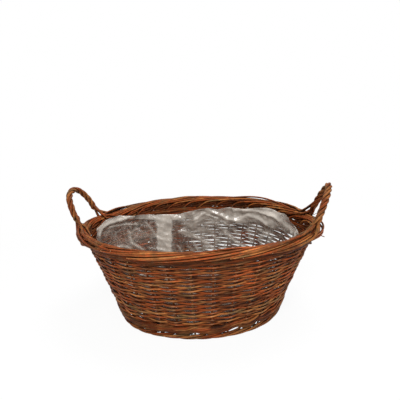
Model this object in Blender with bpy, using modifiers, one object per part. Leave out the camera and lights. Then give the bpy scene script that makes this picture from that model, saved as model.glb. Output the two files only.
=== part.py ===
"""Oval planter basket of brown willow, with two roped loop handles and a loose clear film liner.

The origin is at the middle of the foot, on the surface the basket stands on. +X runs along the
basket's length and +Z points up. All sizes are in metres.
"""

import math

import bmesh
import bpy
import numpy as np
from mathutils import Vector

# Border, the thick rope of rods along the top edge, measured to the middle of that rope
RIM_HALF_LENGTH = 0.178
RIM_HALF_WIDTH = 0.132
RIM_HEIGHT = 0.133
BORDER_RADIUS = 0.0065
BORDER_STRANDS = 5
BORDER_GROOVE_SHARE = 0.14

# Foot border, the ring the basket stands on, measured to the middle of its rope
FOOT_HALF_LENGTH = 0.127
FOOT_HALF_WIDTH = 0.107
FOOT_RADIUS = 0.006

# Upright stakes of the wall, and the rows of weaving that pass in front of and behind them
STAKE_COUNT = 32
STAKE_RADIUS = 0.002
SIDING_ROWS = 8
SIDING_THICKNESS = 0.0032
WALE_THICKNESS = 0.0038
WEAVE_GAP = 0.0005
WEAVE_FLAT_SHARE = 0.22

# Base: long sticks threaded through split cross sticks, with the weaving packed round them
LONG_STICK_COUNT = 3
LONG_STICK_RADIUS = 0.0024
CROSS_STICK_COUNT = 5
CROSS_STICK_RADIUS = 0.0038
BASE_THICKNESS = 0.011
BASE_RIDGES = 2
BASE_RIDGE_HEIGHT = 0.0005
BASE_VALLEY_SHARE = 0.75
BASE_ABOVE_FOOT = 0.001
STICK_SET_BACK = 0.001

# Handles: a bent bow pushed down beside the stakes, with rods twisted round it
BOW_RADIUS = 0.002
BOW_LEG_DEPTH = 0.06
HANDLE_RISE = 0.055
HANDLE_LEAN = 0.0195
HANDLE_SHOULDER = 0.008
HANDLE_FOOT_STAKE_COUNT = 2
ARCH_LEG_PULL_SHARE = 0.62
ARCH_TOP_PULL_SHARE = 0.62
ARCH_STEPS = 8
ROPING_RADIUS = 0.0042
ROPING_STRANDS = 5
ROPING_GROOVE_SHARE = 0.16
ROPING_TURN_LENGTH = 0.05

# Liner: a loose cup of thin clear film, folded where it is gathered in, and low at the back left
LINER_THICKNESS = 0.0008
LINER_WALL_GAP = 0.0015
LINER_CORNER = 0.0025
LINER_BELOW_RIM = 0.009
LINER_EDGE_DIP = 0.008
LINER_DIP_PLACE_SHARE = 0.32
LINER_FOLD_DEPTH = 0.006
LINER_FOLD_SHARES = (0, 0.9, 0.1, 0.6, 0, 1, 0.3, 0.7)

# Clearance between pieces that touch, and how far a cutter runs past what it cuts
PIECE_GAP = 0.0003
CUT_OVERRUN = 0.01
WELD_DISTANCE = 0.00001

# Facets
ROUND_SIDES = 8
LENS_SIDES = 6
BORDER_STEPS = 96
FOOT_STEPS = 48
BASE_RINGS = 10
LINER_STEPS = 48
LINER_LEVELS = 3

# Places worked out from the sizes above
FOOT_MIDDLE = FOOT_RADIUS * math.cos(math.pi / ROUND_SIDES)
FOOT_TOP = 2 * FOOT_MIDDLE
WALL_BOTTOM = FOOT_TOP + PIECE_GAP
WALL_TOP = RIM_HEIGHT - BORDER_RADIUS - PIECE_GAP
ROW_PITCH = (WALL_TOP - WALL_BOTTOM) / (SIDING_ROWS + 2)
ROW_HEIGHT = ROW_PITCH - PIECE_GAP
WALL_REACH = STAKE_RADIUS + WEAVE_GAP + WALE_THICKNESS
BASE_MIDDLE = FOOT_TOP + BASE_ABOVE_FOOT
BASE_TOP = BASE_MIDDLE + BASE_THICKNESS / 2
BASE_EDGE_OUT = -FOOT_MIDDLE - PIECE_GAP
LONG_STICK_PITCH = 2 * LONG_STICK_RADIUS + PIECE_GAP
LONG_BUNDLE_HALF = (LONG_STICK_COUNT - 1) / 2 * LONG_STICK_PITCH + LONG_STICK_RADIUS
LINER_BOTTOM = BASE_TOP + PIECE_GAP
LINER_TOP = RIM_HEIGHT - LINER_BELOW_RIM
LINER_OUT = -WALL_REACH - LINER_WALL_GAP


def clear_scene():
    for thing in list(bpy.data.objects):
        bpy.data.objects.remove(thing, do_unlink=True)


def new_collection(name):
    group = bpy.data.collections.new(name)
    bpy.context.scene.collection.children.link(group)
    return group


def willow(name, colour, roughness=0.6):
    material = bpy.data.materials.new(name)
    material.use_nodes = True
    shader = material.node_tree.nodes["Principled BSDF"]
    shader.inputs["Base Color"].default_value = (*colour, 1)
    shader.inputs["Roughness"].default_value = roughness
    shader.inputs["Metallic"].default_value = 0
    return material


def add_piece(name, mesh, material, group, parent):
    piece = bpy.data.objects.new(name, mesh)
    piece.data.materials.clear()
    if material:
        piece.data.materials.append(material)
    group.objects.link(piece)
    piece.parent = parent
    return piece


def add_cutter(name, mesh, group):
    cutter = add_piece(name, mesh, None, group, None)
    cutter.hide_render = True
    cutter.display_type = "WIRE"
    return cutter


def cut(piece, cutter):
    boolean = piece.modifiers.new(f"Cut by {cutter.name}", "BOOLEAN")
    boolean.operation = "DIFFERENCE"
    boolean.object = cutter


def mesh_from(bm, name):
    bmesh.ops.recalc_face_normals(bm, faces=bm.faces[:])
    mesh = bpy.data.meshes.new(name)
    bm.to_mesh(mesh)
    bm.free()
    return mesh


# The wall's oval

def half_sizes(height):
    """Half length and half width of the wall's middle surface at a height."""
    share = (height - FOOT_MIDDLE) / (RIM_HEIGHT - FOOT_MIDDLE)
    length = FOOT_HALF_LENGTH + (RIM_HALF_LENGTH - FOOT_HALF_LENGTH) * share
    width = FOOT_HALF_WIDTH + (RIM_HALF_WIDTH - FOOT_HALF_WIDTH) * share
    return length, width


def wall_point(angle, height, out=0):
    """A point on the wall, pushed level outwards by a distance."""
    length, width = half_sizes(height)
    outwards = Vector((width * math.cos(angle), length * math.sin(angle), 0)).normalized()
    return Vector((length * math.cos(angle), width * math.sin(angle), height)) + outwards * out


def angles_at(shares):
    """The oval's angles at even shares of the way round, so that stakes are evenly spaced."""
    length, width = half_sizes((WALL_BOTTOM + WALL_TOP) / 2)
    turn = np.linspace(0, math.tau, 721)
    steps = np.hypot(length * np.diff(np.cos(turn)), width * np.diff(np.sin(turn)))
    gone = np.concatenate([[0], np.cumsum(steps)])
    whole, part = np.divmod(np.asarray(shares, float), 1)
    return np.interp(part * gone[-1], gone, turn) + whole * math.tau


def round_the_wall():
    """The distance round the wall at half height."""
    angles = angles_at(np.linspace(0, 1, STAKE_COUNT, endpoint=False))
    points = [wall_point(angle, (WALL_BOTTOM + WALL_TOP) / 2) for angle in angles]
    return sum((b - a).length for a, b in zip(points, points[1:] + points[:1]))


def stake_share(number):
    return (number + 0.5) / STAKE_COUNT


# Rings laid on the oval

def laid_ring(name, steps, sides, place):
    """A torus whose vertices are laid by place(step, side)."""
    bpy.ops.mesh.primitive_torus_add(major_segments=steps, minor_segments=sides)
    torus = bpy.context.object
    mesh = torus.data
    bpy.data.objects.remove(torus)
    bm = bmesh.new()
    bm.from_mesh(mesh)
    bpy.data.meshes.remove(mesh)
    bm.verts.ensure_lookup_table()
    for index, vert in enumerate(bm.verts):
        vert.co = place(*divmod(index, sides))
    return mesh_from(bm, name)


def woven_row(name, row, thickness):
    """One row of weaving: outside one stake, inside the next, swapped from row to row."""
    middle = WALL_BOTTOM + (row + 0.5) * ROW_PITCH
    shares = []
    for number in range(STAKE_COUNT):
        shares += [stake_share(number) + side * WEAVE_FLAT_SHARE / STAKE_COUNT for side in (-1, 1)]
    angles = angles_at(shares)
    reach = STAKE_RADIUS + WEAVE_GAP + thickness / 2

    def place(step, side):
        outside = 1 if (step // 2 + row) % 2 else -1
        turn = math.tau * side / LENS_SIDES
        height = middle + ROW_HEIGHT / 2 * math.sin(turn) / math.sin(math.tau / LENS_SIDES)
        return wall_point(angles[step], height, outside * reach + thickness / 2 * math.cos(turn))

    return laid_ring(name, len(angles), LENS_SIDES, place)


def border(name):
    """The top edge: strands that wind once round the rope over as many stakes as it has strands."""
    sides = 2 * BORDER_STRANDS
    angles = angles_at(np.arange(BORDER_STEPS) / BORDER_STEPS)
    lay = math.tau * round(STAKE_COUNT / BORDER_STRANDS)

    def place(step, side):
        turn = math.tau * side / sides - lay * step / BORDER_STEPS
        radius = BORDER_RADIUS * (1 - BORDER_GROOVE_SHARE * (side % 2))
        point = wall_point(angles[step], RIM_HEIGHT, radius * math.cos(turn))
        point.z += radius * math.sin(turn)
        return point

    return laid_ring(name, BORDER_STEPS, sides, place)


def foot_border(name):
    """The ring underneath, with a flat underside."""
    angles = angles_at((np.arange(FOOT_STEPS) + 0.5) / FOOT_STEPS)

    def place(step, side):
        turn = math.tau * (side + 0.5) / ROUND_SIDES
        point = wall_point(angles[step], FOOT_MIDDLE, FOOT_RADIUS * math.cos(turn))
        point.z = FOOT_MIDDLE + FOOT_RADIUS * math.sin(turn)
        return point

    return laid_ring(name, FOOT_STEPS, ROUND_SIDES, place)


# Rods

def rod(name, radius, start, end, level=False):
    """A straight rod. A level one has its ends cut level and its roundness measured level."""
    bm = bmesh.new()
    bmesh.ops.create_cone(
        bm, cap_ends=True, segments=ROUND_SIDES, radius1=radius, radius2=radius, depth=1
    )
    way = end - start
    turn = way.to_track_quat("Z", "Y").to_matrix()
    for vert in bm.verts:
        across = Vector((vert.co.x, vert.co.y, 0))
        vert.co = start + way * (vert.co.z + 0.5) + (across if level else turn @ across)
    return mesh_from(bm, name)


def stake(name, number):
    angle = angles_at([stake_share(number)])[0]
    return rod(name, STAKE_RADIUS, wall_point(angle, WALL_BOTTOM), wall_point(angle, WALL_TOP), level=True)


def base_edge(share):
    """A point on the base's edge, which lies just inside the foot border."""
    edge = wall_point(angles_at([share])[0], FOOT_MIDDLE, BASE_EDGE_OUT)
    edge.z = BASE_MIDDLE
    return edge


def long_stick(name, number):
    across = (number - (LONG_STICK_COUNT - 1) / 2) * LONG_STICK_PITCH
    reach = base_edge(0).x - STICK_SET_BACK
    start = Vector((-reach, across, BASE_MIDDLE))
    end = Vector((reach, across, BASE_MIDDLE))
    return rod(name, LONG_STICK_RADIUS, start, end)


def cross_stick_edge(number):
    """Where a cross stick meets the base's edge. Each one points at the middle of a pair of stakes."""
    quarter = (number - (CROSS_STICK_COUNT - 1) / 2) * 2 / STAKE_COUNT
    return base_edge(0.25 - quarter)


def cross_stick(name, number, wider=0, longer=0):
    edge = cross_stick_edge(number)
    reach = edge.y - STICK_SET_BACK + longer
    start = Vector((edge.x, -reach, BASE_MIDDLE))
    end = Vector((edge.x, reach, BASE_MIDDLE))
    return rod(name, CROSS_STICK_RADIUS + wider, start, end)


def bundle_box(name, longer, wider):
    """A box round the bundle of long sticks."""
    bm = bmesh.new()
    bmesh.ops.create_cube(bm, size=2)
    sizes = (base_edge(0).x + longer, LONG_BUNDLE_HALF + wider, LONG_STICK_RADIUS + wider)
    bmesh.ops.scale(bm, vec=sizes, verts=bm.verts)
    bmesh.ops.translate(bm, vec=(0, 0, BASE_MIDDLE), verts=bm.verts)
    return mesh_from(bm, name)


def base_outline():
    """Half of the base's section as (share of the way out, height), from middle to middle."""
    shares = np.linspace(0, 1, BASE_RINGS + 1)
    drops = BASE_RIDGE_HEIGHT * (1 - np.cos(math.tau * BASE_RIDGES * shares)) / 2
    drops[-1] = BASE_RIDGE_HEIGHT
    upper = list(zip(shares, BASE_THICKNESS / 2 - drops))
    lower = [(share, -height) for share, height in reversed(upper)]
    return upper + lower


def base_valley(sticks, place):
    """How far the weaving dips between the cross sticks, at a place along the base."""
    cover = BASE_THICKNESS / 2 - BASE_RIDGE_HEIGHT - LONG_STICK_RADIUS - PIECE_GAP
    gone = float(np.interp(place, sticks, range(len(sticks))))
    return BASE_VALLEY_SHARE * cover * (1 - math.cos(math.tau * gone)) / 2


def base_weave(name):
    sticks = [cross_stick_edge(number).x for number in range(CROSS_STICK_COUNT)]
    bm = bmesh.new()
    verts = [bm.verts.new((share, 0, height)) for share, height in base_outline()]
    edges = [bm.edges.new(pair) for pair in zip(verts, verts[1:])]
    bmesh.ops.spin(
        bm, geom=verts + edges, axis=(0, 0, 1), angle=math.tau, steps=FOOT_STEPS, use_merge=True
    )
    bmesh.ops.remove_doubles(bm, verts=bm.verts[:], dist=WELD_DISTANCE)
    for vert in bm.verts:
        share = math.atan2(vert.co.y, vert.co.x) / math.tau + 0.5 / FOOT_STEPS
        edge = base_edge(share) * vert.co.xy.length
        dip = math.copysign(base_valley(sticks, edge.x), vert.co.z)
        vert.co = (edge.x, edge.y, BASE_MIDDLE + vert.co.z - dip)
    return mesh_from(bm, name)


# Handles

def leg_angle(side):
    """The oval's angle where a bow's leg goes down beside its stake, on the inner side of it."""
    beside = (2 * STAKE_RADIUS + PIECE_GAP + WEAVE_GAP) / round_the_wall()
    return side * angles_at([stake_share(HANDLE_FOOT_STAKE_COUNT - 1) - beside])[0]


def bezier(a, b, c, d, share):
    rest = 1 - share
    return a * rest**3 + 3 * b * rest**2 * share + 3 * c * rest * share**2 + d * share**3


def arch_half(side):
    """Points from the shoulder above the border up to the top of the arch."""
    angle = leg_angle(side)
    shoulder_height = RIM_HEIGHT + BORDER_RADIUS + HANDLE_SHOULDER
    shoulder = wall_point(angle, shoulder_height)
    way = (shoulder - wall_point(angle, RIM_HEIGHT)).normalized()
    top = Vector((RIM_HALF_LENGTH + HANDLE_LEAN, 0, RIM_HEIGHT + HANDLE_RISE))
    rise = top.z - shoulder.z
    first = shoulder + way * (rise * ARCH_LEG_PULL_SHARE)
    last = top + Vector((0, shoulder.y * ARCH_TOP_PULL_SHARE, 0))
    shares = np.linspace(0, 1, ARCH_STEPS + 1)
    return [bezier(shoulder, first, last, top, float(share)) for share in shares]


def roping_foot(side):
    """Where the twisted rods start, just above the border."""
    angle = leg_angle(side)
    shoulder = arch_half(side)[0]
    way = (shoulder - wall_point(angle, RIM_HEIGHT)).normalized()
    tipped = ROPING_RADIUS * math.sqrt(1 - way.z**2)
    return wall_point(angle, RIM_HEIGHT + BORDER_RADIUS + PIECE_GAP + tipped)


def arch_points():
    """The roped stretch of the right handle, foot to foot."""
    back = arch_half(1)
    front = arch_half(-1)[::-1]
    return [roping_foot(1)] + back + front[1:] + [roping_foot(-1)]


def bow_points():
    """The whole bow of the right handle, with both legs."""
    low = RIM_HEIGHT - BOW_LEG_DEPTH
    back, front = [
        [wall_point(leg_angle(side), height) for height in (low, RIM_HEIGHT)] for side in (1, -1)
    ]
    return back + arch_points() + front[::-1]


def mirrored(points, hand):
    return [Vector((hand * point.x, hand * point.y, point.z)) for point in points]


def bow(name, hand):
    curve = bpy.data.curves.new(name, "CURVE")
    curve.dimensions = "3D"
    curve.bevel_depth = BOW_RADIUS
    curve.bevel_resolution = 2
    curve.use_fill_caps = True
    points = mirrored(bow_points(), hand)
    spline = curve.splines.new("POLY")
    spline.points.add(len(points) - 1)
    for point, place in zip(spline.points, points):
        point.co = (*place, 1)
    return curve


def roping(name, hand):
    """A sleeve round the bow, whose ridges are the rods twisted round it."""
    points = arch_points()
    outer = Vector((RIM_HALF_LENGTH, 0, 0)).normalized()
    stations = list(range(len(points))) + list(range(len(points)))[::-1]
    around = 2 * ROPING_STRANDS
    bore = (BOW_RADIUS + PIECE_GAP) / math.cos(math.pi / around)
    gone = [0]
    for a, b in zip(points, points[1:]):
        gone.append(gone[-1] + (b - a).length)

    def place(step, side):
        station = stations[side]
        before = points[max(station - 1, 0)]
        after = points[min(station + 1, len(points) - 1)]
        along = (after - before).normalized()
        out = (outer - along * outer.dot(along)).normalized()
        turn = math.tau * step / around
        radius = bore
        if side < len(points):
            turn += math.tau * gone[station] / ROPING_TURN_LENGTH / ROPING_STRANDS
            radius = ROPING_RADIUS * (1 - ROPING_GROOVE_SHARE * (step % 2))
        across = out * math.cos(turn) + along.cross(out) * math.sin(turn)
        return mirrored([points[station] + across * radius], hand)[0]

    return laid_ring(name, around, len(stations), place)


def leg_hole(name, side, hand):
    """The hole a bow's leg makes down through the border."""
    angle = leg_angle(side)
    low = RIM_HEIGHT - BORDER_RADIUS - CUT_OVERRUN
    high = RIM_HEIGHT + BORDER_RADIUS + CUT_OVERRUN
    ends = mirrored([wall_point(angle, low), wall_point(angle, high)], hand)
    return rod(name, (BOW_RADIUS + PIECE_GAP) / math.cos(math.pi / ROUND_SIDES), *ends)


# Liner

def liner_point(level, step):
    """A point of the film: level 0 is the edge of its floor, and the wall starts at level 1."""
    share = step / LINER_STEPS
    angle = angles_at([share])[0]
    if level == 0:
        return wall_point(angle, LINER_BOTTOM, LINER_OUT - LINER_CORNER)
    climb = (level - 1) / LINER_LEVELS
    low = LINER_BOTTOM + LINER_CORNER
    near = (1 + math.cos(math.tau * (share - LINER_DIP_PLACE_SHARE))) / 2
    top = LINER_TOP - LINER_EDGE_DIP * near**3
    fold = LINER_FOLD_DEPTH * climb * LINER_FOLD_SHARES[(step + level) % len(LINER_FOLD_SHARES)]
    return wall_point(angle, low + (top - low) * climb, LINER_OUT - fold)


def liner(name):
    """A cup: a flat floor, an eased corner and a wall that follows the weaving in loose folds."""
    bm = bmesh.new()
    bmesh.ops.create_circle(bm, cap_ends=True, segments=LINER_STEPS, radius=1)
    for level in range(1, LINER_LEVELS + 2):
        edges = [edge for edge in bm.edges if all(vert.co.z == level - 1 for vert in edge.verts)]
        made = bmesh.ops.extrude_edge_only(bm, edges=edges)["geom"]
        raised = [item for item in made if isinstance(item, bmesh.types.BMVert)]
        bmesh.ops.translate(bm, vec=(0, 0, 1), verts=raised)
    for vert in bm.verts:
        step = round(math.atan2(vert.co.y, vert.co.x) / math.tau * LINER_STEPS) % LINER_STEPS
        vert.co = liner_point(round(vert.co.z), step)
    return mesh_from(bm, name)


def thicken(piece, thickness):
    solid = piece.modifiers.new("Film", "SOLIDIFY")
    solid.thickness = thickness
    solid.offset = -1
    solid.use_even_offset = True


# Build

def build_base(group, cutters, root):
    stick = willow("base_stick_willow", (0.30, 0.15, 0.06))
    weave = willow("base_weave_willow", (0.22, 0.10, 0.04))
    base = add_piece("base_weave", base_weave("base_weave"), weave, group, root)
    for number in range(LONG_STICK_COUNT):
        name = f"base_long_stick_{number + 1}"
        add_piece(name, long_stick(name, number), stick, group, root)
    slot = add_cutter("long_stick_slot", bundle_box("long_stick_slot", CUT_OVERRUN, PIECE_GAP), cutters)
    cut(base, slot)
    for number in range(CROSS_STICK_COUNT):
        name = f"base_cross_stick_{number + 1}"
        piece = add_piece(name, cross_stick(name, number), stick, group, root)
        cut(piece, slot)
        tunnel = cross_stick(f"tunnel_{name}", number, PIECE_GAP, CUT_OVERRUN)
        cut(base, add_cutter(tunnel.name, tunnel, cutters))


def build_wall(group, root):
    upright = willow("stake_willow", (0.24, 0.11, 0.045))
    siding = willow("siding_willow", (0.28, 0.12, 0.045))
    wale = willow("wale_willow", (0.20, 0.09, 0.035))
    foot = willow("foot_willow", (0.26, 0.12, 0.05))
    for number in range(STAKE_COUNT):
        name = f"stake_{number + 1:02d}"
        add_piece(name, stake(name, number), upright, group, root)
    add_piece("foot_border", foot_border("foot_border"), foot, group, root)
    add_piece("upsett_wale", woven_row("upsett_wale", 0, WALE_THICKNESS), wale, group, root)
    for row in range(1, SIDING_ROWS + 1):
        name = f"siding_row_{row}"
        add_piece(name, woven_row(name, row, SIDING_THICKNESS), siding, group, root)
    top = woven_row("top_wale", SIDING_ROWS + 1, WALE_THICKNESS)
    add_piece("top_wale", top, wale, group, root)


def build_top(group, cutters, root):
    rope = willow("border_willow", (0.36, 0.17, 0.06), 0.5)
    core = willow("handle_bow_willow", (0.30, 0.15, 0.06))
    twist = willow("handle_roping_willow", (0.34, 0.15, 0.055), 0.5)
    edge = add_piece("border", border("border"), rope, group, root)
    for word, hand in (("right", 1), ("left", -1)):
        name = f"{word}_handle_bow"
        add_piece(name, bow(name, hand), core, group, root)
        name = f"{word}_handle_roping"
        add_piece(name, roping(name, hand), twist, group, root)
        for place, side in (("back", 1), ("front", -1)):
            hole = leg_hole(f"{word}_{place}_leg_hole", side, hand)
            cut(edge, add_cutter(hole.name, hole, cutters))


def build_liner(group, root):
    film = willow("liner_film", (0.85, 0.86, 0.86), 0.2)
    piece = add_piece("liner", liner("liner"), film, group, root)
    thicken(piece, LINER_THICKNESS)


def main():
    clear_scene()
    group = new_collection("willow_basket")
    cutters = new_collection("cutters")
    root = bpy.data.objects.new("willow_basket", None)
    group.objects.link(root)
    build_base(group, cutters, root)
    build_wall(group, root)
    build_top(group, cutters, root)
    build_liner(group, root)


main()
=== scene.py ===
"""Oval planter basket of brown willow with roped loop handles and a crumpled clear film liner.

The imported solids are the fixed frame. Every rod of the basket is laid here as a rod of its own.
"""

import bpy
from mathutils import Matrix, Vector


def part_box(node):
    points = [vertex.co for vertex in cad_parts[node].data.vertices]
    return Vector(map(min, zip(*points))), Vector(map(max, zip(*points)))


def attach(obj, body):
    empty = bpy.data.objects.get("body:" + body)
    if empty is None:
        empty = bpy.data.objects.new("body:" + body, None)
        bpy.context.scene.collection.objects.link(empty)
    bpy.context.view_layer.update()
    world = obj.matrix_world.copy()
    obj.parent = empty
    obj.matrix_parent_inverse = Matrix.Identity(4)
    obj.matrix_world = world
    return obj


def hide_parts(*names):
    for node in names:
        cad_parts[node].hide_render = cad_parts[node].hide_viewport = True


bl_info = {
    "name": "Willow basket",
    "version": (1, 0, 0),
    "blender": (4, 5, 0),
    "location": "3D View > Sidebar > Basket",
    "description": "Lays the rods, handles and film liner of an oval willow basket",
    "category": "Add Mesh",
}

import math

import bmesh
import bpy
import numpy as np
from bpy.props import FloatProperty, FloatVectorProperty, IntProperty, PointerProperty
from mathutils import Matrix, Vector

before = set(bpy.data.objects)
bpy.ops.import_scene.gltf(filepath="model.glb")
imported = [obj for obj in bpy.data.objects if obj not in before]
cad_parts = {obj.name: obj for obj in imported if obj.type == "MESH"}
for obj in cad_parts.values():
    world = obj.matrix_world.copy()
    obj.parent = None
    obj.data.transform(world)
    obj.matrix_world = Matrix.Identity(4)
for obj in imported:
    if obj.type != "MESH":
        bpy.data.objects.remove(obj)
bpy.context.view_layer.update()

# The basket's form, as the solids have it. The edge of the base and the liner lie inside the wall's
# middle surface, and a handle's legs stand a little over one stake from the basket's long axis.
STAKES = 32
RIM_HALF = (0.178, 0.132)
RIM_HEIGHT = 0.133
BORDER_RADIUS = 0.0065
FOOT_HALF = (0.127, 0.107)
FOOT_MIDDLE = 0.00554
WALL_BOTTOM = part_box("stake_01")[0].z
WALL_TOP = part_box("stake_01")[1].z
ROW_ZONE = (WALL_TOP - WALL_BOTTOM) / 10
BASE_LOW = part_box("base_weave")[0].z
BASE_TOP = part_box("base_weave")[1].z
BASE_MIDDLE = (BASE_LOW + BASE_TOP) / 2
BASE_EDGE = -0.00584
LINER_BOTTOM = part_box("liner")[0].z
LINER_OUT = -0.0078
HANDLE_LEG = 1.303
HANDLE_SHOULDER = RIM_HEIGHT + BORDER_RADIUS + 0.008

# Points closer than this are one point
WELD = 0.000001

# How far a rod is pressed into the stakes that it passes
PRESSED = 0.0010


# Sizes and colours

class BasketSizes(bpy.types.PropertyGroup):
    """Sizes of the rods and of the film."""

    siding_rows: IntProperty(
        name="Siding rows", description="Rods stacked up the wall", default=31, min=8, max=40
    )
    siding_butt: FloatProperty(
        name="Siding butt", description="Radius at the thick end of a siding rod",
        default=0.0019, unit="LENGTH",
    )
    siding_tip: FloatProperty(
        name="Siding tip", description="Radius at the thin end of a siding rod",
        default=0.0015, unit="LENGTH",
    )
    stake_radius: FloatProperty(
        name="Stake radius", description="Radius of an upright stake", default=0.0014, unit="LENGTH"
    )
    wale_radius: FloatProperty(
        name="Wale radius", description="Radius of a rod of the heavy rows",
        default=0.0019, unit="LENGTH",
    )
    border_rod: FloatProperty(
        name="Border rod", description="Radius of a rod of the border", default=0.0015, unit="LENGTH"
    )
    foot_rod: FloatProperty(
        name="Foot rod", description="Radius of a rod of the foot border",
        default=0.00155, unit="LENGTH",
    )
    handle_rod: FloatProperty(
        name="Handle rod", description="Radius of a rod twisted round a handle",
        default=0.0021, unit="LENGTH",
    )
    handle_turn: FloatProperty(
        name="Handle turn", description="Length in which a handle's rods wind once round",
        default=0.044, unit="LENGTH",
    )
    film_thickness: FloatProperty(
        name="Film thickness", description="Thickness of the liner's film",
        default=0.0002, unit="LENGTH",
    )


def colour_property(name, description, default):
    return FloatVectorProperty(
        name=name, description=description, default=default, subtype="COLOR", size=3, min=0, max=1
    )


class BasketColours(bpy.types.PropertyGroup):
    """Colours of the bark, the cut wood, the film and the floor."""

    shade: colour_property("Dark bark", "The darkest bark", (0.040, 0.010, 0.004))
    chestnut: colour_property("Chestnut bark", "Brown bark", (0.130, 0.037, 0.010))
    russet: colour_property("Russet bark", "Reddish bark", (0.200, 0.041, 0.0095))
    amber: colour_property("Amber bark", "The brightest bark", (0.310, 0.108, 0.029))
    olive: colour_property("Olive bark", "Weathered greyish bark", (0.125, 0.066, 0.025))
    cut_wood: colour_property("Cut wood", "A rod's cut end", (0.62, 0.42, 0.22))
    film: colour_property("Film", "The film where it looks milky", (0.51, 0.455, 0.395))
    floor: colour_property("Floor", "The floor", (0.80, 0.80, 0.80))


def sizes():
    return bpy.context.scene.basket_sizes


def colours():
    return bpy.context.scene.basket_colours


# The wall's oval. A place round it is counted in stakes, anticlockwise from +X.

def oval_sizes(heights):
    share = (np.asarray(heights, float) - FOOT_MIDDLE) / (RIM_HEIGHT - FOOT_MIDDLE)
    return [foot + (rim - foot) * share for foot, rim in zip(FOOT_HALF, RIM_HALF)]


def stake_angles(around):
    """The oval's angles at places counted in stakes, so that the stakes are evenly spaced."""
    length, width = oval_sizes((WALL_BOTTOM + WALL_TOP) / 2)
    turn = np.linspace(0, math.tau, 721)
    steps = np.hypot(length * np.diff(np.cos(turn)), width * np.diff(np.sin(turn)))
    gone = np.concatenate([[0], np.cumsum(steps)])
    whole, part = np.divmod(np.asarray(around, float) / STAKES, 1)
    return np.interp(part * gone[-1], gone, turn) + whole * math.tau


# Where the hand-made basket stands off a true oval: how far, the place in stakes, and how wide
FOOT_BULGES = ((0.0050, 20.5, 2.2), (0.0024, 29.3, 1.8))
RIM_BULGES = ((0.0048, 31.0, 1.8), (-0.0040, 3.6, 1.5), (-0.0042, 13.6, 1.7))
RIM_SAGS = ((0.0034, 30.8, 2.2), (0.0058, 14.0, 1.7), (0.0044, 1.9, 1.4))


def uneven(around, heights):
    """How far the wall stands off a true oval, outwards and up: its foot is out at the front corners,
    and its border is out and low at the right end, and in and low at the back corners."""
    share = np.clip(heights / RIM_HEIGHT, 0, 1)
    foot = humps(around, FOOT_BULGES)
    rim = humps(around, RIM_BULGES)
    return foot * (1 - share) ** 1.5 + rim * share**2, -humps(around, RIM_SAGS) * share**2


def on_wall(around, heights, out=0.0, lift=0.0):
    """Points on the wall's middle surface, pushed level outwards by out and up by lift."""
    outwards, upwards = uneven(np.asarray(around, float), np.asarray(heights, float))
    around, heights, out, lift = np.broadcast_arrays(around, heights, out + outwards, lift + upwards)
    angle = stake_angles(around)
    length, width = oval_sizes(heights)
    level = np.stack([width * np.cos(angle), length * np.sin(angle)], -1)
    level /= np.linalg.norm(level, axis=-1, keepdims=True)
    places = np.stack([length * np.cos(angle), width * np.sin(angle)], -1) + level * out[..., None]
    return np.concatenate([places, (heights + lift)[..., None]], -1)


def on_rope(around, height, turn, reach, out=0.0):
    """Points round a rope that lies along the oval. A turn of 0 is outwards and a quarter is up."""
    turn = np.asarray(turn, float) * math.tau
    return on_wall(around, height, out + reach * np.cos(turn), reach * np.sin(turn))


# Irregular shapes

def waver(rng, places, waves, size):
    """A smooth irregular line: sines of random height and phase, about so many waves to a unit."""
    found = np.zeros(len(places))
    for step in (0.6, 1.0, 1.7):
        found += rng.normal() * np.sin(places * waves * step * math.tau + rng.uniform(0, math.tau))
    return found * size / 2


def hump(around, middle, wide):
    """A soft rise at a place counted in stakes."""
    gap = (around - middle + STAKES / 2) % STAKES - STAKES / 2
    return np.exp(-((gap / wide) ** 2))


def humps(around, rises):
    """The sum of several soft rises of (height, middle, width)."""
    return sum(height * hump(around, middle, wide) for height, middle, wide in rises)


def eased(share):
    share = np.clip(share, 0, 1)
    return share * share * (3 - 2 * share)


def swayed(wave, sharpness=1.25):
    """A sine whose crests are narrowed, as a tight rod bends only where it passes a stake."""
    return np.sign(wave) * np.abs(wave) ** sharpness


def gone_along(path):
    """How far along a path each of its points lies."""
    return np.concatenate([[0], np.cumsum(np.linalg.norm(np.diff(path, axis=0), axis=1))])


def through(points, steps):
    """A smooth line through the points, in even steps along it."""
    points = np.asarray(points, float)
    padded = np.concatenate([[2 * points[0] - points[1]], points, [2 * points[-1] - points[-2]]])
    share = np.linspace(0, 1, 12, endpoint=False)[:, None]
    line = []
    for a, b, c, d in zip(padded, padded[1:], padded[2:], padded[3:]):
        line.append(
            0.5 * (2 * b + (c - a) * share + (2 * a - 5 * b + 4 * c - d) * share**2
                   + (3 * b - a - 3 * c + d) * share**3)
        )
    line = np.concatenate(line + [points[-1:]])
    gone = gone_along(line)
    even = np.linspace(0, gone[-1], steps)
    return np.stack([np.interp(even, gone, line[:, axis]) for axis in range(3)], -1)


# Rods

def new_rods():
    bm = bmesh.new()
    bm.verts.layers.float_vector.new("rod_place")
    bm.verts.layers.float.new("rod_tone")
    bm.verts.layers.float.new("rod_crest_highlight")
    bm.verts.layers.float.new("rod_deep")
    bm.faces.layers.float.new("cut_end")
    return bm


def directions(path):
    """The way along a path, and a direction across it that doesn't twist."""
    way = np.gradient(path, axis=0)
    way /= np.linalg.norm(way, axis=1, keepdims=True)
    across = np.empty_like(way)
    start = np.cross(way[0], (0.0, 0.0, 1.0))
    if np.linalg.norm(start) < 0.2:
        start = np.cross(way[0], (1.0, 0.0, 0.0))
    across[0] = start / np.linalg.norm(start)
    for step in range(1, len(way)):
        turned = across[step - 1] - way[step] * (across[step - 1] @ way[step])
        across[step] = turned / np.linalg.norm(turned)
    return way, across


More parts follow.
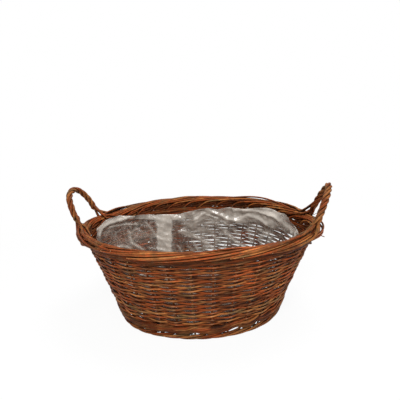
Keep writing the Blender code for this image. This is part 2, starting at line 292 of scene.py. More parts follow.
# Where buds and side shoots grew: how long and how thick the swellings are, and how far apart
BUD_LENGTH = 0.0022
BUD_SWELLING = (0.04, 0.16)
FIRST_BUD = (0.01, 0.06)
BUD_GAP = (0.03, 0.075)


def swollen(rng, gone, radii):
    """Adds the small swellings of buds along a rod."""
    radii = radii.copy()
    place = rng.uniform(*FIRST_BUD)
    while place < gone[-1]:
        radii *= 1 + rng.uniform(*BUD_SWELLING) * np.exp(-((gone - place) / BUD_LENGTH) ** 2)
        place += rng.uniform(*BUD_GAP)
    return radii


def add_rod(bm, rng, path, radii, tone=None, sides=8, flat=1.0, highlight_and_wear=0.0, middle=None):
    """A rod along a path: a grid laid round it, welded along its seam later.

    Flat narrows it level. A painted highlight lies on the crest of the rod where it stands out, along
    its outer side, or its inner side where that value is negative.
    Middle is the middle line of the rope that it lies in, from which the depth that the bark darkens
    as painted shade is found.
    """
    path = np.asarray(path, float)
    gone = gone_along(path)
    radii = swollen(rng, gone, np.broadcast_to(np.asarray(radii, float), len(path)))[:, None]
    way, across = directions(path)
    turn = np.linspace(0, math.tau, sides + 1)
    turn[-1] = 0
    ring = (
        across[:, None] * flat * np.cos(turn)[None, :, None]
        + np.cross(way, across)[:, None] * np.sin(turn)[None, :, None]
    )
    places = path[:, None] + ring * radii[..., None]
    # How deep each point lies inside its rope; the bark darkens deep points as painted shade
    deep = np.zeros(places.shape[:2])
    if middle is not None:
        off = np.linalg.norm(places - middle[:, None], axis=-1)
        deep = (off.max(1, keepdims=True) - off) / (2 * radii)
    marks = np.empty((len(path), sides + 1, 3))
    marks[..., 0] = gone[:, None] + rng.uniform(0, 40)
    marks[..., 1] = radii * np.cos(turn)
    marks[..., 2] = radii * np.sin(turn)
    # The painted crest highlight, on the side that faces out past a stake, or in where the value is
    # negative
    crest_highlight = np.broadcast_to(np.asarray(highlight_and_wear, float), len(path))[:, None] * np.cos(turn)
    crest_highlight = np.clip(crest_highlight, 0, 1)
    tone = rng.uniform(0, 1) if tone is None else tone
    place_layer = bm.verts.layers.float_vector["rod_place"]
    tone_layer = bm.verts.layers.float["rod_tone"]
    highlight_layer = bm.verts.layers.float["rod_crest_highlight"]
    deep_layer = bm.verts.layers.float["rod_deep"]
    made = bmesh.ops.create_grid(bm, x_segments=sides, y_segments=len(path) - 1, size=1)["verts"]
    fields = (places.reshape(-1, 3), marks.reshape(-1, 3), crest_highlight.ravel(), deep.ravel())
    for vert, place, mark, vertex_highlight, depth in zip(made, *(field.tolist() for field in fields)):
        vert.co = place
        vert[place_layer] = mark
        vert[tone_layer] = tone
        vert[highlight_layer] = vertex_highlight
        vert[deep_layer] = depth


def finish_rods(bm, name, material, nodes):
    """Welds the rods' seams, closes their cut ends and makes them a piece."""
    bmesh.ops.remove_doubles(bm, verts=bm.verts[:], dist=WELD)
    for face in bm.faces:
        face.smooth = True
    ends = [edge for edge in bm.edges if edge.is_boundary]
    layer = bm.faces.layers.float["cut_end"]
    for face in bmesh.ops.holes_fill(bm, edges=ends, sides=0)["faces"]:
        face[layer] = 1
        face.smooth = False
    bmesh.ops.recalc_face_normals(bm, faces=bm.faces[:])
    finish_piece(bm, name, material, nodes)


def finish_piece(bm, name, material, nodes, body="basket"):
    mesh = bpy.data.meshes.new(name)
    bm.to_mesh(mesh)
    bm.free()
    mesh.materials.append(material)
    piece = bpy.data.objects.new(name, mesh)
    bpy.context.scene.collection.objects.link(piece)
    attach(piece, body)
    if nodes:
        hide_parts(*nodes)
    return piece


# Materials

def add_node(tree, kind, inputs=(), **settings):
    """A node with its settings, whose inputs are joined to sockets or set to values."""
    node = tree.nodes.new(kind)
    for name, value in settings.items():
        setattr(node, name, value)
    for name, value in dict(inputs).items():
        if isinstance(value, bpy.types.NodeSocket):
            tree.links.new(value, node.inputs[name])
        else:
            node.inputs[name].default_value = value
    return node


def maths(tree, operation, first, second, clamp=False):
    inputs = {0: first, 1: second}
    return add_node(tree, "ShaderNodeMath", inputs, operation=operation, use_clamp=clamp).outputs[0]


def scaled(tree, value, factor, added):
    """A value times a factor, with a number added."""
    inputs = {0: value, 1: factor, 2: added}
    return add_node(tree, "ShaderNodeMath", inputs, operation="MULTIPLY_ADD").outputs[0]


def mixed(tree, share, first, second, blend="MIX"):
    """Two colours mixed by a share from 0 to 1."""
    inputs = {0: share, 6: first, 7: second}
    return add_node(tree, "ShaderNodeMix", inputs, data_type="RGBA", blend_type=blend).outputs[2]


def stretched(tree, place, stretch):
    node = add_node(tree, "ShaderNodeVectorMath", {0: place, 1: stretch}, operation="MULTIPLY")
    return node.outputs[0]


def stretched_noise(tree, place, stretch, detail=3.0, roughness=0.55):
    noise = add_node(
        tree, "ShaderNodeTexNoise",
        {
            "Vector": stretched(tree, place, stretch),
            "Scale": 1.0, "Detail": detail, "Roughness": roughness,
        },
    )
    return noise.outputs["Fac"]


def ramp(tree, value, stops):
    """A colour ramp with stops of (position, colour)."""
    node = add_node(tree, "ShaderNodeValToRGB", {"Fac": value})
    band = node.color_ramp
    while len(band.elements) < len(stops):
        band.elements.new(0.5)
    for element, (position, colour) in zip(band.elements, stops):
        element.position = position
        element.color = (*colour, 1)
    return node.outputs["Color"]


def grey(value):
    return (value, value, value)


def mask(tree, value, low, high, least=0.0, most=1.0):
    """A mask that goes from least to most as a value goes from low to high."""
    return ramp(tree, value, [(low, grey(least)), (high, grey(most))])


def new_group(name, inputs, outputs):
    group = bpy.data.node_groups.new(name, "ShaderNodeTree")
    for label, kind, default in inputs:
        socket = group.interface.new_socket(label, in_out="INPUT", socket_type=kind)
        if default is not None:
            socket.default_value = default
    for label, kind in outputs:
        group.interface.new_socket(label, in_out="OUTPUT", socket_type=kind)
    entry = group.nodes.new("NodeGroupInput")
    leave = group.nodes.new("NodeGroupOutput")
    return group, entry.outputs, leave.inputs


def toned_bark(group, given, mottle):
    """Bark's colour by its rod's tone, its mottling and bands, and broad patches over the wall."""
    paint = colours()
    bands = stretched_noise(group, given["Place"], (16, 0, 0), detail=2)
    patches = stretched_noise(group, given["Wall Place"], (30, 30, 62), detail=3, roughness=0.6)
    toned = scaled(group, given["Tone"], 0.80, -1.15)
    for noise, share in ((mottle, 0.40), (bands, 0.70), (patches, 1.40)):
        toned = maths(group, "ADD", toned, maths(group, "MULTIPLY", noise, share))
    stops = (
        (0.00, paint.shade),
        (0.25, paint.chestnut),
        (0.48, paint.russet),
        (0.62, paint.chestnut),
        (0.82, paint.amber),
        (1.00, paint.olive),
    )
    return ramp(group, toned, stops)


def weathered_bark(group, given, bark):
    """Bark with greyish weathered patches and bright reddish flames over the wall."""
    paint = colours()
    weather = stretched_noise(group, given["Wall Place"], (34, 34, 70), detail=5, roughness=0.7)
    bark = mixed(group, mask(group, weather, 0.52, 0.66, most=0.7), bark, (*paint.olive, 1))
    flames = stretched_noise(group, given["Wall Place"], (24, 24, 48), detail=4, roughness=0.7)
    bright = (*[1.9 * channel for channel in paint.russet], 1)
    return mixed(group, mask(group, flames, 0.58, 0.68, most=0.75), bark, bright)


def bark_pores(group, given):
    cells = add_node(
        group, "ShaderNodeTexVoronoi",
        {"Vector": stretched(group, given["Place"], (150, 620, 620)), "Scale": 1.0},
        feature="F1",
    )
    return mask(group, cells.outputs["Distance"], 0.10, 0.24, least=0.55)


def scuffs_and_crest_highlight(group, given, streak):
    """Where the bark is pale: rubbed in scuffs here and there, and a painted highlight where a rod
    stands out.
    """
    scuffs = stretched_noise(group, given["Place"], (90, 700, 700), detail=6, roughness=0.7)
    scuffed = maths(group, "MULTIPLY", mask(group, scuffs, 0.56, 0.70), given["Wear"])
    # A painted highlight on the crest of a rod where it stands out
    crest_highlight = mask(group, given["Crest Highlight"], 0.78, 0.98, most=0.8)
    crest_highlight = maths(group, "MULTIPLY", crest_highlight, mask(group, streak, 0.38, 0.60, most=0.75))
    return maths(group, "MAXIMUM", scuffed, crest_highlight)


def painted_shade_on_bark(group, given):
    """Painted shade on the bark: on a rod's upper and lower flanks, and deep inside a rope of rods.
    """
    parts = add_node(group, "ShaderNodeSeparateXYZ", {"Vector": given["Place"]}).outputs
    level = maths(group, "POWER", parts["Y"], 2.0)
    steep = maths(group, "POWER", parts["Z"], 2.0)
    never_nought = maths(group, "ADD", steep, 1e-12)
    flank = maths(group, "DIVIDE", steep, maths(group, "ADD", level, never_nought))
    # Painted shade on the upper and lower flanks, where rods lie against each other, and deep inside
    # a rope
    flank_shade = maths(group, "MULTIPLY", mask(group, flank, 0.12, 0.66), given["Crevice Shade"])
    return maths(group, "MAXIMUM", flank_shade, mask(group, given["Deep"], 0.12, 0.40, most=0.93))


def bark_group():
    """Willow bark: a tone for each rod, long streaks, mottling, pores, pale scuffs and pale cut ends,
    with a painted highlight on crests and painted shade on flanks and deep inside ropes.
    """
    found = bpy.data.node_groups.get("willow_bark")
    if found:
        return found
    paint = colours()
    group, given, out = new_group(
        "willow_bark",
        [
            ("Place", "NodeSocketVector", None),
            ("Wall Place", "NodeSocketVector", None),
            ("Tone", "NodeSocketFloat", 0.5),
            ("Crest Highlight", "NodeSocketFloat", 0.0),
            ("Deep", "NodeSocketFloat", 0.0),
            ("Crevice Shade", "NodeSocketFloat", 0.0),
            ("Cut End", "NodeSocketFloat", 0.0),
            ("Brightness", "NodeSocketFloat", 1.0),
            ("Wear", "NodeSocketFloat", 0.3),
        ],
        [
            ("Color", "NodeSocketColor"),
            ("Roughness", "NodeSocketFloat"),
            ("Height", "NodeSocketFloat"),
        ],
    )
    mottle = stretched_noise(group, given["Place"], (22, 260, 260), detail=4)
    streak = stretched_noise(group, given["Place"], (45, 1900, 1900), detail=5, roughness=0.62)
    bark = weathered_bark(group, given, toned_bark(group, given, mottle))
    streaked = ramp(group, streak, [(0.30, grey(0.42)), (0.52, grey(1.0)), (0.76, grey(1.38))])
    bark = mixed(group, 1.0, bark, streaked, "MULTIPLY")
    pored = bark_pores(group, given)
    bark = mixed(group, 0.8, bark, pored, "MULTIPLY")
    highlight_and_wear = scuffs_and_crest_highlight(group, given, streak)
    # Pale for the real scuffs and for the painted highlight on crests
    pale_wear_and_highlight = [0.9 * channel + paler for channel, paler in zip(paint.amber, (0.10, 0.12, 0.09))]
    bark = mixed(group, highlight_and_wear, bark, (*pale_wear_and_highlight, 1))
    # Painted shade: a darker colour for the flanks of the rods and deep inside ropes
    painted_shade_colour = [0.35 * channel for channel in paint.shade]
    bark = mixed(group, painted_shade_on_bark(group, given), bark, (*painted_shade_colour, 1))
    bark = mixed(group, 1.0, bark, given["Brightness"], "MULTIPLY")
    bark = mixed(group, given["Cut End"], bark, (*paint.cut_wood, 1))
    group.links.new(bark, out["Color"])
    rough = scaled(group, mottle, 0.30, 0.36)
    rough = maths(group, "ADD", rough, maths(group, "MULTIPLY", highlight_and_wear, 0.25), clamp=True)
    group.links.new(rough, out["Roughness"])
    raised = maths(group, "MULTIPLY", streak, 0.6)
    for value, share in ((mottle, 0.6), (pored, 0.25)):
        raised = maths(group, "ADD", raised, maths(group, "MULTIPLY", value, share))
    group.links.new(raised, out["Height"])
    return group


def new_material(name):
    material = bpy.data.materials.new(name)
    material.use_nodes = True
    return material, material.node_tree, material.node_tree.nodes["Principled BSDF"]


def attribute(tree, name, output="Fac"):
    return add_node(tree, "ShaderNodeAttribute", attribute_name=name).outputs[output]


def join_group(tree, shader, node_group, given, strength, distance):
    """Joins a group's colour, roughness and alpha to the shader, and its height through a bump."""
    group = add_node(tree, "ShaderNodeGroup", given, node_tree=node_group)
    for label, socket in (("Color", "Base Color"), ("Roughness", "Roughness"), ("Alpha", "Alpha")):
        if label in group.outputs:
            tree.links.new(group.outputs[label], shader.inputs[socket])
    bump = add_node(
        tree, "ShaderNodeBump",
        {"Strength": strength, "Distance": distance, "Height": group.outputs["Height"]},
    )
    tree.links.new(bump.outputs["Normal"], shader.inputs["Normal"])


def bark(name, brightness=1.0, wear=0.2, crevice_shade=0.0):
    material, tree, shader = new_material(name)
    given = {
        "Place": attribute(tree, "rod_place", "Vector"),
        "Wall Place": add_node(tree, "ShaderNodeTexCoord").outputs["Object"],
        "Tone": attribute(tree, "rod_tone"),
        "Crest Highlight": attribute(tree, "rod_crest_highlight"),
        "Deep": attribute(tree, "rod_deep"),
        # How strongly a rod's upper and lower flanks get painted shade
        "Crevice Shade": crevice_shade,
        "Cut End": attribute(tree, "cut_end"),
        "Brightness": brightness,
        "Wear": wear,
    }
    join_group(tree, shader, bark_group(), given, strength=0.8, distance=0.0008)
    shader.inputs["Specular IOR Level"].default_value = 0.06
    return material


def film_wrinkles(group, place):
    """Fine lines between warped cells, at two scales."""
    warp = add_node(group, "ShaderNodeTexNoise", {"Vector": place, "Scale": 22.0, "Detail": 3.0})
    bent = add_node(
        group, "ShaderNodeVectorMath",
        {0: warp.outputs["Color"], 1: (0.05, 0.05, 0.05), 2: place},
        operation="MULTIPLY_ADD",
    ).outputs[0]
    wrinkles = []
    for scale, narrow in ((30.0, 0.035), (70.0, 0.060)):
        cells = add_node(
            group, "ShaderNodeTexVoronoi", {"Vector": bent, "Scale": scale},
            feature="DISTANCE_TO_EDGE",
        ).outputs["Distance"]
        stops = [(0.0, grey(1.0)), (narrow, grey(0.25)), (3 * narrow, grey(0.0))]
        wrinkles.append(ramp(group, cells, stops))
    return maths(group, "ADD", wrinkles[0], maths(group, "MULTIPLY", wrinkles[1], 0.5), clamp=True)


def film_group():
    """Crumpled film: clear where it is single and flat, milky on creases and where it is double."""
    found = bpy.data.node_groups.get("crumpled_film")
    if found:
        return found
    group, given, out = new_group(
        "crumpled_film",
        [
            ("Place", "NodeSocketVector", None),
            ("Crease", "NodeSocketFloat", 0.0),
            ("Layers", "NodeSocketFloat", 0.0),
        ],
        [
            ("Color", "NodeSocketColor"),
            ("Roughness", "NodeSocketFloat"),
            ("Alpha", "NodeSocketFloat"),
            ("Height", "NodeSocketFloat"),
        ],
    )
    film = colours().film
    haze = stretched_noise(group, given["Place"], (30, 30, 30), detail=4, roughness=0.55)
    wrinkles = film_wrinkles(group, given["Place"])
    milk = scaled(group, mask(group, haze, 0.42, 0.62), 0.05, 0.02)
    for value, share in ((wrinkles, 0.17), (given["Crease"], 0.32)):
        milk = maths(group, "ADD", milk, maths(group, "MULTIPLY", value, share))
    rippled = maths(group, "MULTIPLY", scaled(group, haze, 1.5, -0.10), 1.35)
    doubled = maths(group, "MULTIPLY", given["Layers"], rippled)
    milk = maths(group, "ADD", milk, doubled, clamp=True)
    group.links.new(milk, out["Alpha"])
    shade = ramp(group, haze, [(0.30, [0.80 * channel for channel in film]), (0.70, film)])
    group.links.new(shade, out["Color"])
    group.links.new(scaled(group, haze, 0.20, 0.10), out["Roughness"])
    raised = maths(group, "ADD", haze, maths(group, "MULTIPLY", wrinkles, 0.5))
    group.links.new(raised, out["Height"])
    return group


def film_material():
    material, tree, shader = new_material("clear_film")
    given = {
        "Place": add_node(tree, "ShaderNodeTexCoord").outputs["Object"],
        "Crease": attribute(tree, "crease"),
        "Layers": attribute(tree, "layers"),
    }
    join_group(tree, shader, film_group(), given, strength=0.6, distance=0.0012)
    shader.inputs["Specular IOR Level"].default_value = 0.6
    shader.inputs["Coat Weight"].default_value = 0.3
    shader.inputs["Coat Roughness"].default_value = 0.06
    return material


# Base

# The base's sticks: where round the basket the cross sticks end at the back, how thick they are at
# their ends and how much more in the middle, how thick the long sticks are and how far apart they
# lie, and how far short of the edge all of them end
CROSS_STICK_PLACES = np.array([12.0, 10.0, 8.0, 6.0, 4.0])
CROSS_STICK_RADIUS = 0.0031
CROSS_STICK_SWELL = 0.0006
LONG_STICK_RADIUS = 0.0023
LONG_STICK_GAP = 0.0051
STICK_SET_BACK = 0.001


def cross_stick_ends():
    """The back ends of the five cross sticks, on the base's edge."""
    return on_wall(CROSS_STICK_PLACES, FOOT_MIDDLE, BASE_EDGE)[:, :2]


class BASKET_OT_base_sticks(bpy.types.Operator):
    """Lays the three long sticks and the five cross sticks of the base"""

    bl_idname = "basket.base_sticks"
    bl_label = "Base sticks"

    def execute(self, context):
        rng = np.random.default_rng(11)
        bm = new_rods()
        reach = on_wall(0, FOOT_MIDDLE, BASE_EDGE)[0] - STICK_SET_BACK
        level = np.full(40, BASE_MIDDLE)
        for number in (-1, 0, 1):
            along = np.linspace(-reach, reach, 40)
            across = number * LONG_STICK_GAP + waver(rng, along, 6, 0.0002)
            add_rod(bm, rng, np.stack([along, across, level], -1), LONG_STICK_RADIUS)
        for x, y in cross_stick_ends():
            across = np.linspace(-y + STICK_SET_BACK, y - STICK_SET_BACK, 40)
            along = x + waver(rng, across, 6, 0.0003)
            radii = CROSS_STICK_RADIUS + CROSS_STICK_SWELL * (1 - np.abs(across / y))
            add_rod(bm, rng, np.stack([along, across, level], -1), radii, sides=10)
        nodes = [f"base_long_stick_{n}" for n in (1, 2, 3)]
        nodes += [f"base_cross_stick_{n}" for n in range(1, 6)]
        finish_rods(bm, "base_sticks_bark", bark("base_stick_bark", 1.0), nodes)
        return {"FINISHED"}


def reach_across(outline, y):
    """How far a closed outline reaches left and right at a place across the basket."""
    x, side = outline[:, 0], outline[:, 1] - y
    found = np.flatnonzero(side[:-1] * side[1:] <= 0)
    share = side[found] / (side[found] - side[found + 1] + WELD)
    places = x[found] + (x[found + 1] - x[found]) * share
    return places.min(), places.max()


# Base rods: their radius, how far apart the rows and the rings lie, how far off the basket's middle
# the first row lies, by how much the rows cover less than the inner half width, and in what length
# a row goes from one side to the other beyond its last stick
BASE_ROD = 0.0017
BASE_ROW_GAP = 0.00305
BASE_RING_GAP = 0.0033
BASE_FIRST_ROW = 0.0095
BASE_ROWS_LESS = 0.0105
BASE_ROW_END = 0.03


class BASKET_OT_base_weaving(bpy.types.Operator):
    """Weaves the base: straight rods across the sticks, and five rods round the edge"""

    bl_idname = "basket.base_weaving"
    bl_label = "Base weaving"

    def execute(self, context):
        rng = np.random.default_rng(12)
        bm = new_rods()
        sway = ((BASE_TOP - BASE_LOW) / 2 - BASE_ROD - 0.0003) * 0.85
        order = np.sort(cross_stick_ends()[:, 0])
        inner = on_wall(np.linspace(0, STAKES, 400), FOOT_MIDDLE, BASE_EDGE - 4 * BASE_RING_GAP)
        for side in (-1, 1):
            far = np.abs(inner[inner[:, 1] * side > 0, 1]).max()
            rows = int((far - 0.009) / BASE_ROW_GAP)
            for row in range(rows):
                y = BASE_FIRST_ROW + (far - BASE_ROWS_LESS) * row / (rows - 1)
                x = np.linspace(*reach_across(inner, side * y), 70)
                count = np.interp(x, order, np.arange(5))
                count += np.clip((x - order[-1]) / BASE_ROW_END, 0, 1)
                count -= np.clip((order[0] - x) / BASE_ROW_END, 0, 1)
                z = BASE_MIDDLE + sway * swayed(np.cos(math.pi * (count + row)), 3.5)
                line = np.stack([x, side * y + waver(rng, x, 7, 0.0003), z], -1)
                add_rod(bm, rng, line, BASE_ROD * rng.uniform(0.98, 1.14), sides=6)
        crossings = np.sort([*CROSS_STICK_PLACES, *CROSS_STICK_PLACES + 16, 0, 16, 32])
        for ring in range(-1, 4):
            start = rng.integers(0, 12)
            around = np.linspace(0, STAKES, 241) + crossings[start]
            count = np.interp(around % STAKES, crossings, np.arange(len(crossings)))
            rise = BASE_MIDDLE - FOOT_MIDDLE + sway * 0.9 * np.cos(math.pi * (count + ring))
            out = BASE_EDGE - BASE_ROD - BASE_RING_GAP * ring
            line = on_wall(around, FOOT_MIDDLE, out, rise)
            add_rod(bm, rng, line[1:-2], BASE_ROD * 1.05, sides=7)
        finish_rods(bm, "base_weaving", bark("base_weaving_bark", 0.9), ["base_weave"])
        return {"FINISHED"}


# Wall

# Where the stakes' lower ends are, and how far their upper ends go into the border
STAKE_FOOT = 0.0045
STAKE_IN_BORDER = 0.003


class BASKET_OT_stakes(bpy.types.Operator):
    """Sets the 32 upright stakes, from the foot border up into the border"""

    bl_idname = "basket.stakes"
    bl_label = "Stakes"

    def execute(self, context):
        rng = np.random.default_rng(21)
        bm = new_rods()
        for number in range(STAKES):
            heights = np.linspace(STAKE_FOOT, WALL_TOP + STAKE_IN_BORDER, 44)
            around = number + 0.5 + waver(rng, heights, 9, 0.02)
            line = on_wall(around, heights, waver(rng, heights, 14, 0.0002) + wall_bulge(heights))
            radii = sizes().stake_radius * np.linspace(1.04, 0.94, len(heights))
            add_rod(bm, rng, line, radii)
        nodes = [f"stake_{n:02d}" for n in range(1, STAKES + 1)]
        finish_rods(bm, "stakes_bark", bark("stake_bark", 0.95), nodes)
        return {"FINISHED"}


# How much a siding rod is narrowed level, as it is pressed between the stakes
SIDING_FLAT = 0.75

# How tightly the rods are beaten down: places counted in stakes, low on the wall, and high
TIGHTNESS = (
    (0, 1.0, 1.7, 3.0, 8.0, 9.3, 10.4, 16.2, 17.5, 30.5, 31.5, 32),
    (1.50, 1.42, 1.12, 1.02, 1.00, 1.18, 1.50, 1.50, 1.05, 1.05, 1.40, 1.50),
    (1.60, 1.60, 1.55, 1.50, 1.50, 1.50, 1.55, 1.55, 1.10, 1.10, 1.50, 1.60),
)

# The height where the low values turn into the high ones, and in how much height they do
TIGHT_FROM = 0.094
TIGHT_RISE = 0.010

# From the first to the second of these tightnesses, a rod bends less and less round a stake
CLOSING = (1.15, 1.45)


def tightness(around, heights):
    """The rods are close at the sides and ends, and more open in front and low at the back right."""
    places, low, high = TIGHTNESS
    low, high = (np.interp(around % STAKES, places, values) for values in (low, high))
    return low + (high - low) * eased((heights - TIGHT_FROM) / TIGHT_RISE)


def wall_bulge(heights):
    """How far the weaving stands outside the solids' wall low down, and inside it high up."""
    return np.interp(heights, (0, WALL_TOP), (0.0016, -0.0014))


# Steps in which a siding rod goes from one stake to the next
SIDING_STEPS = 9


def siding_stack(rng):
    """Each siding rod's first stake, and its radii and heights at even steps round the wall."""
    size = sizes()
    around = np.arange(STAKES * SIDING_STEPS) / SIDING_STEPS
    low = WALL_BOTTOM + ROW_ZONE - 0.0024
    high = WALL_TOP - ROW_ZONE * 0.50
    starts, radii = [], []
    for row in range(size.siding_rows):
        start = 2 * rng.integers(0, STAKES // 2) + (row + 1) % 2
        share = ((around - start - 0.5) % STAKES) / STAKES
        butt = size.siding_butt * rng.uniform(0.82, 1.18)
        tip = size.siding_tip * rng.uniform(0.85, 1.15)
        starts.append(start)
        radii.append((butt + (tip - butt) * share) * (1 + waver(rng, share, 5, 0.04)))
    radii = np.array(radii)
    middles = 2 * np.cumsum(radii, 0) - radii
    heights = low + (high - low) * middles / (2 * radii.sum(0))
    kernel = np.ones(SIDING_STEPS) / SIDING_STEPS
    for row in heights:
        looped = np.concatenate([row[-SIDING_STEPS:], row, row[:SIDING_STEPS]])
        row[:] = np.convolve(looped, kernel, "same")[SIDING_STEPS:-SIDING_STEPS]
    return starts, radii, heights


def siding_lines(rng):
    """Each siding rod's places round the wall, heights, outs, radii and how bright its painted crest
    highlight is.
    """
    lines = []
    for row, (start, radii, heights) in enumerate(zip(*siding_stack(rng))):
        step = int((start + 0.5) * SIDING_STEPS)
        turned = np.roll(np.arange(STAKES * SIDING_STEPS), -step)
        turned = np.concatenate([turned, turned[:1]])
        run = np.arange(len(turned)) / SIDING_STEPS + step / SIDING_STEPS
        heights, radii = heights[turned], radii[turned]
        tight = tightness(run, heights)
        closed = np.interp(tight, CLOSING, (0, 1))
        side = 1 if row % 2 == 0 else -1
        sway = sizes().stake_radius + radii * SIDING_FLAT - PRESSED
        sway = sway * (1 + waver(rng, run, 0.3, 0.12)) * (1 - 0.45 * closed)
        out = side * sway * swayed(np.sin(math.pi * run))
        first, last = (np.exp(-((run - end) / 0.5) ** 2) for end in (run[0], run[-1]))
        out = out - rng.uniform(0, 0.0025) * first - rng.uniform(0, 0.002) * last
        out = out + waver(rng, run, 0.12, 0.0004) + wall_bulge(heights)
        lift = waver(rng, run, 0.22, 0.0009) + waver(rng, run, 0.55, 0.0003)
        lift = (lift - side * 0.0004 * np.cos(math.pi * run)) * (1 - 0.6 * closed)
        # Where the rod stands out past a stake, which gets a painted highlight on its crest
        highlight_and_wear = side * swayed(np.sin(math.pi * run), 2.2)
        lines.append((run, heights + lift, out, radii * tight, highlight_and_wear))
    return lines


class BASKET_OT_siding(bpy.types.Operator):
    """Weaves the siding: rods stacked up the wall, in front of one stake and behind the next"""

    bl_idname = "basket.siding"
    bl_label = "Siding"

    def execute(self, context):
        rng = np.random.default_rng(22)
        bm = new_rods()
        for run, heights, out, radii, highlight_and_wear in siding_lines(rng):
            line = on_wall(run, heights, out)
            add_rod(bm, rng, line[1:-1], radii[1:-1], flat=SIDING_FLAT, highlight_and_wear=highlight_and_wear[1:-1])
        nodes = [f"siding_row_{n}" for n in range(1, 9)]
        finish_rods(bm, "siding_rods", bark("siding_bark", 1.36, 0.2, 1.0), nodes)
        return {"FINISHED"}


# Slits over the foot border, where the lowest rods stand off it: how far, the place, how wide
FOOT_SLITS = (
    (0.0038, 24.5, 0.26), (0.0050, 26.9, 0.50), (0.0050, 28.25, 0.30),
    (0.003, 3.5, 0.5), (0.003, 12.3, 0.4), (0.003, 16.2, 0.3),
)

# How far the lowest rods sink all round, before the slits lift them, and how far out the heavy rows
# and the foot border stand
FOOT_SINK = 0.0022
HEAVY_OUT = 0.0004


def wale(name, node, low, high, rounds, seed, brightness):
    """A heavy row: three rods at a time, each in front of two stakes and behind one. Phase goes from
    0 to 3 over those stakes, and a rod climbs while it is in front and comes down behind."""
    rng = np.random.default_rng(seed)
    bm = new_rods()
    pitch = (high - low) / (2 * rounds)
    radius = min(sizes().wale_radius, pitch * 0.84)
    sway = sizes().stake_radius + radius - PRESSED
    run = np.arange(-0.35, STAKES + 0.3, 0.1)
    phase = run % 3
    front = eased((phase + 0.1) / 0.55) * eased((2.6 - phase) / 0.55)
    front = np.where(phase > 2.8, eased((phase - 2.75) / 0.5) * 0.5, front)
    climb = np.where(phase <= 2.2, phase / 2.2, 1 - (phase - 2.2) / 0.8)
    taper = np.linspace(1.08, 0.9, len(run))
    for turn in range(rounds):
        start = rng.integers(0, STAKES)
        for rod in range(3):
            around = start + rod + run
            height = low + pitch * (2 * turn + 2 * climb) + waver(rng, run, 0.1, 0.0003)
            if node == "upsett_wale":
                slits = humps(around, FOOT_SLITS) - FOOT_SINK
                height = height + slits * (1 - 0.6 * turn / rounds)
            out = -sway + 2 * sway * front + HEAVY_OUT + wall_bulge(height)
            add_rod(bm, rng, on_wall(around, height, out), radius * taper * rng.uniform(0.95, 1.06))
    finish_rods(bm, name, bark(f"{node}_bark", brightness, 0.2, 0.6), [node])


class BASKET_OT_wales(bpy.types.Operator):
    """Weaves the heavy rows at the bottom and the top of the wall"""

    bl_idname = "basket.wales"
    bl_label = "Wales"

    def execute(self, context):
        low = WALL_BOTTOM + 0.0012
        wale("upsett_wale_rods", "upsett_wale", low, low + ROW_ZONE - 0.0016, 2, 23, 1.05)
        high = WALL_TOP + 0.0042
        wale("top_wale_rods", "top_wale", high - ROW_ZONE * 0.80, high, 2, 24, 0.9)
        return {"FINISHED"}


# The foot border's rods: how many stakes each runs past, where round the rope it starts, how far
# round it goes with each stake, how far off the rope's middle it lies in rod radii, and how much
# higher it starts
FOOT_RUN = 4.4
FOOT_START = 0.36
FOOT_TURN = 0.195
FOOT_REACH = 1.72
FOOT_RISE = 0.0065


class BASKET_OT_foot_border(bpy.types.Operator):
    """Winds the foot border, whose rods come down from the wall and run along under it"""

    bl_idname = "basket.foot_border"
    bl_label = "Foot border"

    def execute(self, context):
        rng = np.random.default_rng(31)
        bm = new_rods()
        radius = sizes().foot_rod
        reach = radius * FOOT_REACH
        middle = radius + reach
        out = HEAVY_OUT + wall_bulge(FOOT_MIDDLE)
        run = np.linspace(0, FOOT_RUN, 46)
        rise = np.exp(-((run / 0.32) ** 2)) * FOOT_RISE
        taper = np.linspace(1.08, 0.86, len(run))
        for number in range(STAKES):
            turn = FOOT_START - FOOT_TURN * run + waver(rng, run, 0.2, 0.012)
            around = number + 0.5 + 0.14 - run
            line = on_rope(around, middle, turn, reach * (1 + waver(rng, run, 0.2, 0.04)), out)
            line[:, 2] = np.maximum(line[:, 2] + rise, radius * 1.02)
            add_rod(bm, rng, line, radius * taper, middle=on_wall(around, middle, out))
        material = bark("foot_bark", 1.2, 0.2, 0.4)
        finish_rods(bm, "foot_border_rods", material, ["foot_border"])
        return {"FINISHED"}


# Border rods that stand off the rope: where each leaves it and joins it, how far it lifts, and
# where round the rope it starts
LIFTED_RODS = (
    (15.4, 12.4, 0.0070, 0.30),
    (6.8, 2.6, 0.0050, 0.30),
    (10.4, 8.2, 0.0020, 0.30),
    (27.5, 24.6, 0.0030, 0.30),
    (33.6, 30.4, 0.0058, 0.06),
    (33.2, 30.1, 0.0050, -0.02),
    (19.4, 16.6, 0.0080, -0.15),
)


# The border's other rods: how many stakes each runs past, where round the rope it starts, how far
# round it goes with each stake, how much lower it starts, and the radius of the rope's core
BORDER_RUN = (7.4, 8.8)
BORDER_START = 0.62
BORDER_TURN = 0.093
BORDER_DROP = 0.011
BORDER_CORE = 0.0034


